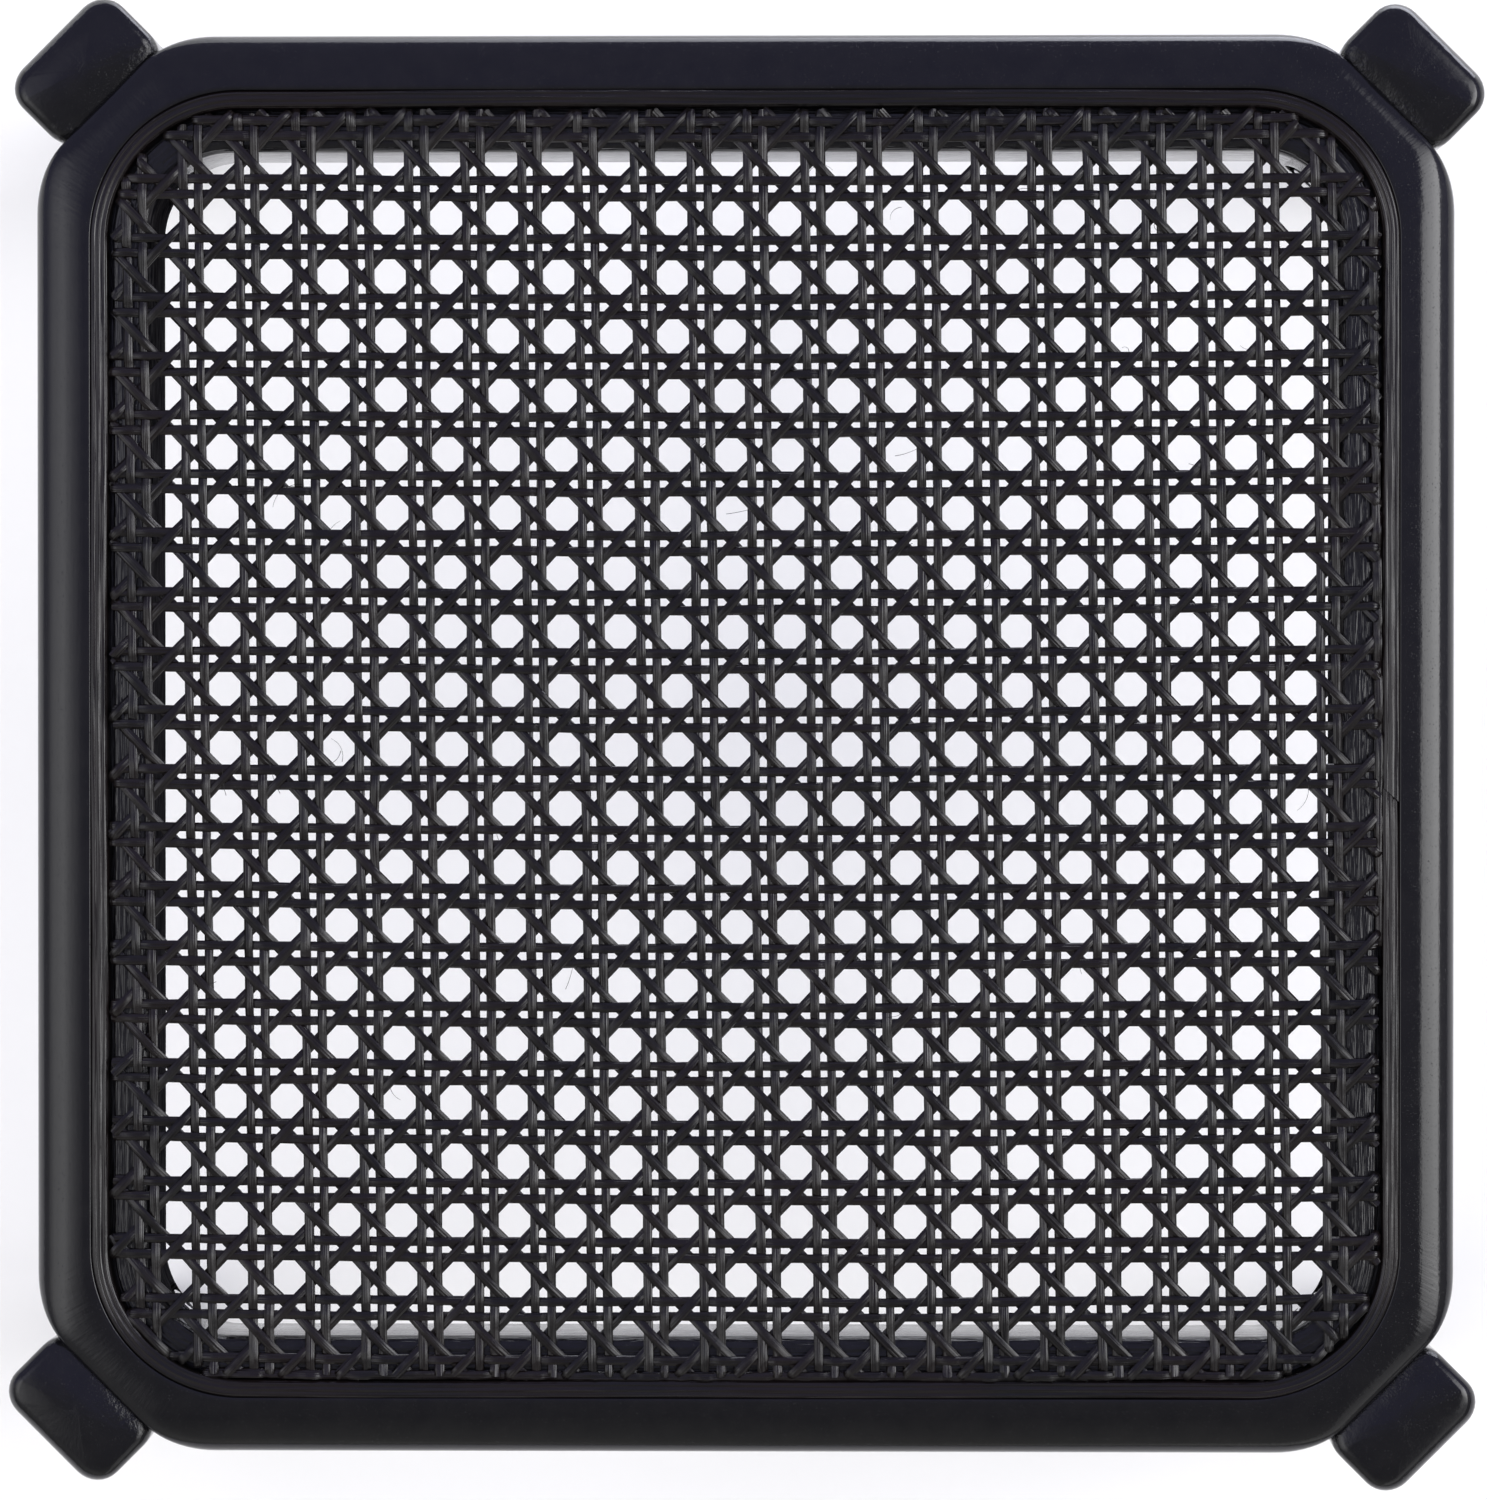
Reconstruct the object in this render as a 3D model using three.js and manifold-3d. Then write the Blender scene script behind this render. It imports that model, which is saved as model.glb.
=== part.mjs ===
// A square stool with a woven cane seat.
//
// Four mitred rails make the seat frame. A groove runs round its top: the edge of the
// woven cane is pressed down into the groove and a reed spline, glued in after it, holds
// it there. Each corner of the frame is cut off at 45 degrees and sits on a shelf in the
// head of a leg, where a bolt and two dowels hold it. The legs taper and lean outwards.
//
// Millimetres, +Z up, origin on the floor under the middle of the seat.
import * as THREE from "three";
import { mergeVertices } from "three/addons/utils/BufferGeometryUtils.js";
import Module from "manifold-3d";

const wasm = await Module();
wasm.setup();

// ---- Driving dimensions -------------------------------------------------------------

const SEAT_HEIGHT = 450; // top of the seat frame above the floor
const GAP = 0.3; // left between pieces that touch
const OVERCUT = 1; // how far a cutter runs past the face it opens

// Seat frame
const FRAME_HALF = 198; // middle of the seat to the outside of a rail
const FRAME_DEPTH = 35; // top of the frame to its underside
const CHAMFER = 253; // middle of the seat to the flat that cuts off a corner
const SHOULDER_RADIUS = 28; // in plan, between a side and the cut corner
const OUTER_ROUND = 9; // roundover of the outer top edge
const UNDER_ROUND = 2; // roundover of the outer bottom edge
const RAIL_WIDTH = 33;
const OPENING_RADIUS = 22; // corners of the opening
const INNER_ROUND = 3; // roundover of the opening's edges
const LEDGE_DROP = 1.5; // the ledge under the cane is this much below the top

// Groove, webbing and spline
const GROOVE_INSET = 15.5; // outside of a rail to the groove
const GROOVE_WIDTH = 7;
const GROOVE_DEPTH = 8;
const GROOVE_RADIUS = 42; // corners of the groove's outer wall
const WEB_THICK = 2.2; // woven cane, over the ledge
const WEB_SKIRT = 0.9; // woven cane, pressed flat against the groove's inner wall
const SPLINE_CROWN = 0.8; // the spline stands this much above the frame
const SPLINE_ROUND = 1.8;
const SPLINE_JOINT = -14; // where the spline's two ends meet, along the right rail

// Leg, on the diagonal of the seat
const LEG_WIDTH = 40; // across the diagonal, at the top
const FOOT_WIDTH = 28;
const LEG_OUTSIDE = 276; // middle of the seat to the outer face, level with the seat
const LEG_INSIDE = 232; // middle of the seat to the inner face, level with the shelf
const FOOT_OUTSIDE = 320;
const LEG_ROUND = 7; // long edges of the leg
const HEAD_DROP = 2.5; // the head of the leg is this much below the frame's top
const HEAD_CORNER = 8; // roundover of the head's outer top edge
const HEAD_ROUND = 6; // roundover of the head along the frame
const LEG_SLIDE = [0, -3, 0, -3]; // how far each leg stands to one side, as CORNERS

// Corner bolt, washer and threaded insert
const BOLT_DROP = 25; // axis below the frame's top
const BOLT_RADIUS = 3;
const BOLT_SEAT = 232; // middle of the seat to the face the washer bears on
const BOLT_LENGTH = 35;
const BOLT_POINT = 1; // chamfer at its tip
const HEAD_RADIUS = 5;
const HEAD_HEIGHT = 6;
const SOCKET_RADIUS = 2.9;
const SOCKET_DEPTH = 3;
const WASHER_RADIUS = 7;
const WASHER_THICK = 1.6;
const INSERT_RADIUS = 5;
const INSERT_FLANGE = 6.5;
const INSERT_FLANGE_THICK = 1.5;
const INSERT_LENGTH = 15;

// Dowels and the loose tongue in each mitre
const DOWEL_RADIUS = 4;
const DOWEL_LENGTH = 24;
const DOWEL_OUT = 243; // middle of the seat to a dowel's axis, along the diagonal
const DOWEL_SPREAD = 11; // to either side of the diagonal
const TONGUE_DROP = 14; // its middle below the frame's top
const TONGUE_THICK = 4;
const TONGUE_WIDTH = 20;
const TONGUE_LENGTH = 22;
const TONGUE_OUT = 237;

// Nail-on glide under each foot
const GLIDE_RADIUS = 11;
const GLIDE_HEIGHT = 5;
const GLIDE_ROUND = 1.5;
const NAIL_RADIUS = 1.25;
const NAIL_HEAD_RADIUS = 4;
const NAIL_HEAD_THICK = 1.2;
const NAIL_LENGTH = 20;
const NAIL_FLOOR = 2; // plastic left under the nail's head

// Facets
const CURVE_SEGMENTS = 2; // three.js doubles this for an arc
const ROUND_SEGMENTS = 3;
const LATHE_SEGMENTS = 16;
const GLIDE_SEGMENTS = 24;

// ---- Worked out from them -----------------------------------------------------------

const UNDERSIDE = SEAT_HEIGHT - FRAME_DEPTH;
const LEDGE_TOP = SEAT_HEIGHT - LEDGE_DROP;
const GROOVE_FLOOR = SEAT_HEIGHT - GROOVE_DEPTH;
const GROOVE_OUTER = FRAME_HALF - GROOVE_INSET;
const GROOVE_INNER = GROOVE_OUTER - GROOVE_WIDTH;
const GROOVE_INNER_RADIUS = GROOVE_RADIUS - GROOVE_WIDTH;
const OPENING_HALF = FRAME_HALF - RAIL_WIDTH;
const FOOT_INSIDE = FOOT_OUTSIDE - FOOT_WIDTH;
const FOOT_MIDDLE = (FOOT_OUTSIDE + FOOT_INSIDE) / 2;
const FOOT_LEVEL = GLIDE_HEIGHT + GAP;
const HEAD_TOP = SEAT_HEIGHT - HEAD_DROP;
const SHELF = UNDERSIDE - GAP;
const NOTCH_FACE = CHAMFER + GAP;
const BOLT_LEVEL = SEAT_HEIGHT - BOLT_DROP;
const TONGUE_LEVEL = SEAT_HEIGHT - TONGUE_DROP;
const FAR = 500; // past every face, for cutters

const SIDES = ["right", "back", "left", "front"]; // anticlockwise from +X
const CORNERS = ["back_right", "back_left", "front_left", "front_right"]; // from +X+Y

// ---- Finishes -----------------------------------------------------------------------

const finish = (color, roughness, metalness = 0) =>
  new THREE.MeshStandardMaterial({ color, roughness, metalness });

const LACQUER = finish(0x1b1b20, 0.3);
const CANE = finish(0x1c1b1e, 0.5);
const REED = finish(0x1a1a1d, 0.4);
const STEEL = finish(0xb4b6ba, 0.35, 1);
const ZINC = finish(0xa9a48f, 0.45, 1);
const BEECH = finish(0xc8a273, 0.7);
const NYLON = finish(0x222225, 0.6);

// ---- Solids -------------------------------------------------------------------------

/** A closed geometry as a solid that can be cut and joined. */
function solid(geometry) {
  const bare = geometry.clone();
  bare.deleteAttribute("normal");
  bare.deleteAttribute("uv");
  const merged = mergeVertices(bare);
  const vertProperties = new Float32Array(merged.attributes.position.array);
  const triVerts = new Uint32Array(merged.index.array);
  return new wasm.Manifold(new wasm.Mesh({ numProp: 3, vertProperties, triVerts }));
}

/** The geometry of a solid, once it is cut. */
function shapeOf(cut) {
  const mesh = cut.getMesh();
  const geometry = new THREE.BufferGeometry();
  geometry.setAttribute("position", new THREE.BufferAttribute(mesh.vertProperties, 3));
  geometry.setIndex(new THREE.BufferAttribute(mesh.triVerts, 1));
  geometry.computeVertexNormals();
  return geometry;
}

const without = (body, ...cutters) =>
  cutters.reduce((left, cutter) => left.subtract(solid(cutter)), body);

// ---- Outlines in plan ---------------------------------------------------------------

/** An anticlockwise outline with one arc or more in each quarter, the same in all four. */
function fourFold(PathClass, arcs) {
  const path = new PathClass();
  const start = arcs[0];
  path.moveTo(start.x + start.radius, -start.y);
  path.lineTo(start.x + start.radius, start.y);
  for (let quarter = 0; quarter < 4; quarter++) {
    const turn = (quarter * Math.PI) / 2;
    for (const { x, y, radius, from, to } of arcs) {
      const middle = new THREE.Vector2(x, y).rotateAround(new THREE.Vector2(), turn);
      path.absarc(middle.x, middle.y, radius, turn + from, turn + to);
    }
  }
  return path;
}

function roundedSquare(half, radius, PathClass = THREE.Shape) {
  const middle = half - radius;
  const arc = { x: middle, y: middle, radius, from: 0, to: Math.PI / 2 };
  return fourFold(PathClass, [arc]);
}

/** The seat frame from above: a square whose corners are cut off between two shoulders. */
function frameOutline() {
  const radius = SHOULDER_RADIUS;
  const near = FRAME_HALF - radius;
  const far = (CHAMFER - radius) * Math.SQRT2 - near;
  return fourFold(THREE.Shape, [
    { x: near, y: far, radius, from: 0, to: Math.PI / 4 },
    { x: far, y: near, radius, from: Math.PI / 4, to: Math.PI / 2 },
  ]);
}

function ring(outer, inner) {
  outer.holes.push(inner);
  return outer;
}

// ---- Extrusions and turned shapes ---------------------------------------------------

/** An outline raised from one level to another, with its edges rounded if asked. */
function raised(outline, low, high, round = 0) {
  const geometry = new THREE.ExtrudeGeometry(outline, {
    depth: high - low - 2 * round,
    curveSegments: CURVE_SEGMENTS,
    bevelEnabled: round > 0,
    bevelSize: round,
    bevelOffset: -round,
    bevelThickness: round,
    bevelSegments: ROUND_SEGMENTS,
  });
  return geometry.translate(0, 0, low + round);
}

/** An outline in the upright plane of the diagonal, extruded to both sides of it. */
function acrossDiagonal(outline, width, round = 0) {
  const geometry = raised(outline, -width / 2, width / 2, round);
  return geometry.rotateX(Math.PI / 2);
}

/** A shape turned about Z from its [radius, level] profile. */
function turned(profile, segments = LATHE_SEGMENTS) {
  const points = profile.map(([radius, level]) => new THREE.Vector2(radius, level));
  return new THREE.LatheGeometry(points, segments).rotateX(Math.PI / 2);
}

/** The same, lying along the diagonal (+X) at the bolt's level, from `start` outwards. */
function turnedOutwards(profile, start) {
  return turned(profile).rotateY(Math.PI / 2).translate(start, 0, BOLT_LEVEL);
}

function block(sizeX, sizeY, sizeZ, x, y, z) {
  return new THREE.BoxGeometry(sizeX, sizeY, sizeZ).translate(x, y, z);
}

const rod = (radius, low, high) => [[0, low], [radius, low], [radius, high], [0, high]];

// ---- Seat frame ---------------------------------------------------------------------

/** Everything that is drilled or slotted at one corner, lying along +X. */
function cornerCutters() {
  const boltHole = turnedOutwards(rod(BOLT_RADIUS + GAP, 0, FAR), OPENING_HALF);
  const counterbore = turnedOutwards(
    rod(WASHER_RADIUS + 2 * GAP, 0, BOLT_SEAT - OPENING_HALF),
    OPENING_HALF,
  );
  const slot = block(
    TONGUE_LENGTH + 2 * GAP,
    TONGUE_WIDTH + 2 * GAP,
    TONGUE_THICK + 2 * GAP,
    TONGUE_OUT,
    0,
    TONGUE_LEVEL,
  );
  return [boltHole, counterbore, slot, ...dowelHoles()];
}

/** The two dowel holes of a corner, from the leg's shelf up into the frame and down. */
function dowelHoles() {
  const reach = DOWEL_LENGTH / 2 + 2 * GAP;
  return [-DOWEL_SPREAD, DOWEL_SPREAD].map((side) =>
    turned(rod(DOWEL_RADIUS + GAP, SHELF - reach, SHELF + reach)).translate(
      DOWEL_OUT,
      side,
      0,
    ),
  );
}

/** The whole frame, before it is parted at the mitres. */
function frameBlank() {
  const blank = roundedSquare(FAR, OPENING_RADIUS);
  const opening = roundedSquare(OPENING_HALF, OPENING_RADIUS, THREE.Path);
  const base = solid(raised(ring(blank, opening), UNDERSIDE, LEDGE_TOP, INNER_ROUND));

  const pocket = roundedSquare(GROOVE_OUTER, GROOVE_RADIUS, THREE.Path);
  const rim = solid(
    raised(
      ring(roundedSquare(FAR, OPENING_RADIUS), pocket),
      GROOVE_FLOOR,
      SEAT_HEIGHT,
    ),
  );

  const rounded = raised(frameOutline(), -FAR, SEAT_HEIGHT, OUTER_ROUND);
  const underneath = raised(frameOutline(), UNDERSIDE, FAR * 2, UNDER_ROUND);
  const groove = ring(
    roundedSquare(GROOVE_OUTER, GROOVE_RADIUS),
    roundedSquare(GROOVE_INNER, GROOVE_INNER_RADIUS, THREE.Path),
  );
  const body = base.add(rim).intersect(solid(rounded)).intersect(solid(underneath));
  return without(body, raised(groove, GROOVE_FLOOR, SEAT_HEIGHT + OVERCUT));
}

/** The right-hand rail: the frame between two mitres, slotted and drilled at each end. */
function makeRail() {
  const wedge = new THREE.Shape();
  const tip = GAP / Math.SQRT2;
  wedge.moveTo(tip, 0);
  wedge.lineTo(FAR, -FAR + tip);
  wedge.lineTo(FAR, FAR - tip);
  const rail = frameBlank().intersect(solid(raised(wedge, 0, SEAT_HEIGHT + OVERCUT)));
  const cutters = cornerCutters();
  const ends = [Math.PI / 4, -Math.PI / 4].flatMap((turn) =>
    cutters.map((cutter) => cutter.clone().rotateZ(turn)),
  );
  return shapeOf(without(rail, ...ends));
}

function makeTongue() {
  return block(TONGUE_LENGTH, TONGUE_WIDTH, TONGUE_THICK, TONGUE_OUT, 0, TONGUE_LEVEL);
}

// ---- Cane webbing and its spline ----------------------------------------------------

/** The woven sheet as a plain plate, with its edge turned down into the groove. */
function makeWebbing() {
  const low = LEDGE_TOP + GAP;
  const inner = GROOVE_INNER + GAP;
  const innerRadius = GROOVE_INNER_RADIUS + GAP;
  const outline = roundedSquare(inner + WEB_SKIRT, innerRadius + WEB_SKIRT);
  const tray = solid(raised(outline, GROOVE_FLOOR + GAP, low + WEB_THICK));
  const under = raised(roundedSquare(inner, innerRadius), GROOVE_FLOOR - OVERCUT, low);
  return shapeOf(without(tray, under));
}

/** One length of reed, bent round all four corners, its ends meeting on one side. */
function makeSpline() {
  const outer = GROOVE_OUTER - GAP;
  const inner = GROOVE_INNER + WEB_SKIRT + 2 * GAP;
  const section = ring(
    roundedSquare(outer, GROOVE_RADIUS - GAP),
    roundedSquare(inner, GROOVE_INNER_RADIUS + WEB_SKIRT + 2 * GAP, THREE.Path),
  );
  const top = SEAT_HEIGHT + SPLINE_CROWN;
  const reed = solid(raised(section, GROOVE_FLOOR + GAP, top, SPLINE_ROUND));
  const joint = block(OPENING_HALF, GAP, FAR, FRAME_HALF, SPLINE_JOINT, SEAT_HEIGHT);
  return shapeOf(without(reed, joint));
}

// ---- Leg, lying along +X from the middle of the seat --------------------------------

/** Where a face of the leg is at some level, given where it is at two. */
function along(level, lowLevel, atLow, highLevel, atHigh) {
  return THREE.MathUtils.mapLinear(level, lowLevel, highLevel, atLow, atHigh);
}

const outsideAt = (level) => along(level, 0, FOOT_OUTSIDE, SEAT_HEIGHT, LEG_OUTSIDE);
const insideAt = (level) => along(level, 0, FOOT_INSIDE, SHELF, LEG_INSIDE);

/** The leg before its head is cut: a tapered, leaning post with a rounded top. */
function makePost() {
  const base = -FRAME_DEPTH;
  const side = new THREE.Shape();
  side.moveTo(insideAt(base), base);
  side.lineTo(outsideAt(base), base);
  side.lineTo(outsideAt(HEAD_TOP - HEAD_CORNER), HEAD_TOP - HEAD_CORNER);
  side.absarc(
    outsideAt(HEAD_TOP - HEAD_CORNER) - HEAD_CORNER,
    HEAD_TOP - HEAD_CORNER,
    HEAD_CORNER,
    0,
    Math.PI / 2,
  );
  side.lineTo(insideAt(HEAD_TOP), HEAD_TOP);
  const post = acrossDiagonal(side, LEG_WIDTH, LEG_ROUND);
  const place = post.attributes.position;
  for (let i = 0; i < place.count; i++) {
    const width = along(place.getZ(i), 0, FOOT_WIDTH, SEAT_HEIGHT, LEG_WIDTH);
    place.setY(i, (place.getY(i) * width) / LEG_WIDTH);
  }
  return solid(post);
}

/** The space that the frame's corner takes, rounding the head's edge beside it. */
function notchCutter() {
  const side = new THREE.Shape();
  side.moveTo(0, SHELF);
  side.lineTo(NOTCH_FACE, SHELF);
  side.lineTo(NOTCH_FACE, HEAD_TOP - HEAD_ROUND);
  side.absarc(
    NOTCH_FACE + HEAD_ROUND,
    HEAD_TOP - HEAD_ROUND,
    HEAD_ROUND,
    Math.PI,
    Math.PI / 2,
    true,
  );
  side.lineTo(NOTCH_FACE + HEAD_ROUND, FAR);
  side.lineTo(0, FAR);
  return acrossDiagonal(side, LEG_WIDTH * 2);
}

/** The leg that stands `slide` to one side of the bolt and the dowels that hold it. */
function makeLeg(slide) {
  const belowFoot = block(FAR, FAR, FRAME_DEPTH * 2, FOOT_MIDDLE, 0, FOOT_LEVEL - FRAME_DEPTH);
  const insertHole = turnedOutwards(
    [
      [0, -BOLT_RADIUS],
      [INSERT_FLANGE + GAP, -BOLT_RADIUS],
      [INSERT_FLANGE + GAP, INSERT_FLANGE_THICK + GAP],
      [INSERT_RADIUS + GAP, INSERT_FLANGE_THICK + GAP],
      [INSERT_RADIUS + GAP, INSERT_LENGTH + GAP],
      [0, INSERT_LENGTH + GAP],
    ],
    NOTCH_FACE,
  );
  const nailTop = NAIL_FLOOR + NAIL_LENGTH + GAP;
  const nailHole = turned(rod(NAIL_RADIUS + GAP, 0, nailTop)).translate(FOOT_MIDDLE, 0, 0);
  const joinery = [insertHole, ...dowelHoles()].map((hole) => hole.translate(0, -slide, 0));
  return shapeOf(without(makePost(), belowFoot, notchCutter(), nailHole, ...joinery));
}

// ---- Fasteners ----------------------------------------------------------------------

/** Socket-head bolt, from the inside corner of the frame outwards into the leg. */
function makeBolt() {
  const start = BOLT_SEAT - GAP - WASHER_THICK - GAP - HEAD_HEIGHT;
  const tip = HEAD_HEIGHT + BOLT_LENGTH;
  const bolt = turnedOutwards(
    [
      [0, 0],
      [HEAD_RADIUS, 0],
      [HEAD_RADIUS, HEAD_HEIGHT],
      [BOLT_RADIUS, HEAD_HEIGHT],
      [BOLT_RADIUS, tip - BOLT_POINT],
      [BOLT_RADIUS - BOLT_POINT, tip],
      [0, tip],
    ],
    start,
  );
  const socket = new THREE.CylinderGeometry(SOCKET_RADIUS, SOCKET_RADIUS, SOCKET_DEPTH * 2, 6)
    .rotateZ(Math.PI / 2)
    .translate(start, 0, BOLT_LEVEL);
  return shapeOf(without(solid(bolt), socket));
}

/** A turned ring's profile, closed on itself. */
const ringProfile = (inner, outer, low, high) => [
  [inner, low],
  [outer, low],
  [outer, high],
  [inner, high],
  [inner, low],
];

function makeWasher() {
  const bore = BOLT_RADIUS + GAP;
  return turnedOutwards(
    ringProfile(bore, WASHER_RADIUS, 0, WASHER_THICK),
    BOLT_SEAT - GAP - WASHER_THICK,
  );
}

/** Threaded insert, let into the leg from the face of the notch. */
function makeInsert() {
  const bore = BOLT_RADIUS + GAP;
  return turnedOutwards(
    [
      [bore, 0],
      [INSERT_FLANGE, 0],
      [INSERT_FLANGE, INSERT_FLANGE_THICK],
      [INSERT_RADIUS, INSERT_FLANGE_THICK],
      [INSERT_RADIUS, INSERT_LENGTH],
      [bore, INSERT_LENGTH],
      [bore, 0],
    ],
    NOTCH_FACE,
  );
}

function makeDowel(side) {
  const half = DOWEL_LENGTH / 2;
  const tip = DOWEL_RADIUS / 4;
  const profile = [
    [0, -half],
    [DOWEL_RADIUS - tip, -half],
    [DOWEL_RADIUS, tip - half],
    [DOWEL_RADIUS, half - tip],
    [DOWEL_RADIUS - tip, half],
    [0, half],
  ];
  return turned(profile, LATHE_SEGMENTS / 2).translate(DOWEL_OUT, side, SHELF);
}

/** Plastic glide, solid underneath, with a pocket above for the nail's head. */
function makeGlide() {
  const pocket = NAIL_HEAD_RADIUS + GAP;
  const pocketFloor = NAIL_FLOOR - GAP;
  const profile = [
    [0, 0],
    [GLIDE_RADIUS - GLIDE_ROUND, 0],
    [GLIDE_RADIUS - GLIDE_ROUND * 0.3, GLIDE_ROUND * 0.3],
    [GLIDE_RADIUS, GLIDE_ROUND],
    [GLIDE_RADIUS, GLIDE_HEIGHT],
    [pocket, GLIDE_HEIGHT],
    [pocket, pocketFloor],
    [0, pocketFloor],
  ];
  return turned(profile, GLIDE_SEGMENTS).translate(FOOT_MIDDLE, 0, 0);
}

function makeNail() {
  const neck = NAIL_FLOOR + NAIL_HEAD_THICK;
  const tip = NAIL_FLOOR + NAIL_LENGTH;
  const profile = [
    [0, NAIL_FLOOR],
    [NAIL_HEAD_RADIUS, NAIL_FLOOR],
    [NAIL_HEAD_RADIUS, neck],
    [NAIL_RADIUS, neck],
    [NAIL_RADIUS, tip - NAIL_RADIUS * 3],
    [0, tip],
  ];
  return turned(profile, LATHE_SEGMENTS / 2).translate(FOOT_MIDDLE, 0, 0);
}

// ---- The stool ----------------------------------------------------------------------

function named(name, geometry, material) {
  const mesh = new THREE.Mesh(geometry, material);
  mesh.name = name;
  return mesh;
}

/** The given pieces at every quarter turn, the first at `turn` from +X. */
function quarterTurns(names, turn, piecesOf) {
  const whole = new THREE.Group();
  names.forEach((place, quarter) => {
    const group = new THREE.Group();
    group.rotation.z = turn + (quarter * Math.PI) / 2;
    for (const [name, geometry, material, slide = 0] of piecesOf(quarter)) {
      const mesh = named(`${name}_${place}`, geometry, material);
      mesh.position.y = slide;
      group.add(mesh);
    }
    whole.add(group);
  });
  return whole;
}

const stool = new THREE.Group();
stool.add(quarterTurns(SIDES, 0, () => [["rail", makeRail(), LACQUER]]));
stool.add(named("cane_webbing", makeWebbing(), CANE));
stool.add(named("reed_spline", makeSpline(), REED));
stool.add(
  quarterTurns(CORNERS, Math.PI / 4, (quarter) => [
    ["leg", makeLeg(LEG_SLIDE[quarter]), LACQUER, LEG_SLIDE[quarter]],
    ["mitre_tongue", makeTongue(), BEECH],
    ["corner_bolt", makeBolt(), STEEL],
    ["bolt_washer", makeWasher(), STEEL],
    ["threaded_insert", makeInsert(), ZINC],
    ["dowel_a", makeDowel(-DOWEL_SPREAD), BEECH],
    ["dowel_b", makeDowel(DOWEL_SPREAD), BEECH],
    ["glide", makeGlide(), NYLON, LEG_SLIDE[quarter]],
    ["glide_nail", makeNail(), STEEL, LEG_SLIDE[quarter]],
  ]),
);

export default stool;
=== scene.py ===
"""A black stool with a woven cane seat, on a pale studio floor, seen from above.

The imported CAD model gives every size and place. The rails, legs, reed and cane are
rebuilt here as finer pieces inside its box: rails with a crowned top, legs with pillowed
heads, a fluted reed, and a cane sheet of separate strands woven over and under, with a
few stray hairs.
"""

import math

import bmesh
import bpy
import numpy as np
from mathutils import Matrix, Vector


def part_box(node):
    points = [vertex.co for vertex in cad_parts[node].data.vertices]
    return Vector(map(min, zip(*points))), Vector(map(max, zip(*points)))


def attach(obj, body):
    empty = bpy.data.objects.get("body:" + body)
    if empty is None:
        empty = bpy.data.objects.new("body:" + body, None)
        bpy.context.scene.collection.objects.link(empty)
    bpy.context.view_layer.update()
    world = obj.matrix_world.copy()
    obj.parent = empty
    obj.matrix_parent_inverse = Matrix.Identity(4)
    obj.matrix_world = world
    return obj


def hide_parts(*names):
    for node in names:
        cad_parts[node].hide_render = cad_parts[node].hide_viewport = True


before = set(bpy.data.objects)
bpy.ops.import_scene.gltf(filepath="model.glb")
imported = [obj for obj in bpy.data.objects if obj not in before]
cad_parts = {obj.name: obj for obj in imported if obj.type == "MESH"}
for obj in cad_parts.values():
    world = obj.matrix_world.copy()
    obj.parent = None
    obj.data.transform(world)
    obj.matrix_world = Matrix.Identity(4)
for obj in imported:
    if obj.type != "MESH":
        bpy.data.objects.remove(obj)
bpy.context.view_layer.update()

MM = 0.001
QUARTERS = 4
SIDES = ["right", "back", "left", "front"]  # anticlockwise from +X
CORNERS = ["back_right", "back_left", "front_left", "front_right"]  # from +X+Y

# ---- Sizes, in metres ---------------------------------------------------------------

RAIL_LOW, RAIL_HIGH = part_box("rail_right")
WEB_LOW, WEB_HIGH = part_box("cane_webbing")
REED_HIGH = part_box("reed_spline")[1]

TOP = RAIL_HIGH.z
UNDERSIDE = RAIL_LOW.z
FRAME_HALF = RAIL_HIGH.x
CHAMFER = 253 * MM
SHOULDER_RADIUS = 28 * MM
CROWN_DROP = 9 * MM
CORNER_DROP = 4 * MM  # where a leg stands against the frame
UNDER_ROUND = 2 * MM
RAIL_WIDTH = 33 * MM
OPENING_HALF = FRAME_HALF - RAIL_WIDTH
OPENING_RADIUS = 22 * MM
LEDGE_ROUND = 3 * MM
LEDGE_TOP = TOP - 1.5 * MM
GAP = 0.3 * MM
GROOVE_OUTER = REED_HIGH.x + GAP
GROOVE_INNER = GROOVE_OUTER - 7 * MM
GROOVE_RADIUS = 42 * MM
GROOVE_FLOOR = TOP - 8 * MM
CREASE_ROUND = 0.5 * MM
MITRE_GAP = 0.01 * MM
OVERCUT = 20 * MM  # how far a cutter runs past what it cuts
COUNTERBORE_RADIUS = 7.6 * MM
BOLT_SEAT = 232 * MM
BOLT_LEVEL = TOP - 25 * MM
RECESS_DEEP = 30 * MM


# ---- Mesh helpers -------------------------------------------------------------------

def unit(v):
    return v / np.maximum(np.linalg.norm(v, axis=-1, keepdims=True), 1e-12)


def skin(rings):
    """Vertices and faces of a capped tube through equal rings of points, shape (n, m, 3)."""
    count, around = rings.shape[:2]
    i, j = np.meshgrid(np.arange(count - 1), np.arange(around), indexing="ij")
    near, far = i * around, (i + 1) * around
    step = (j + 1) % around
    faces = np.stack([near + j, near + step, far + step, far + j], -1).reshape(-1, 4)
    faces = faces.tolist()
    faces.append(list(range(around))[::-1])
    faces.append(list(range((count - 1) * around, count * around)))
    return rings.reshape(-1, 3), faces


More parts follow.
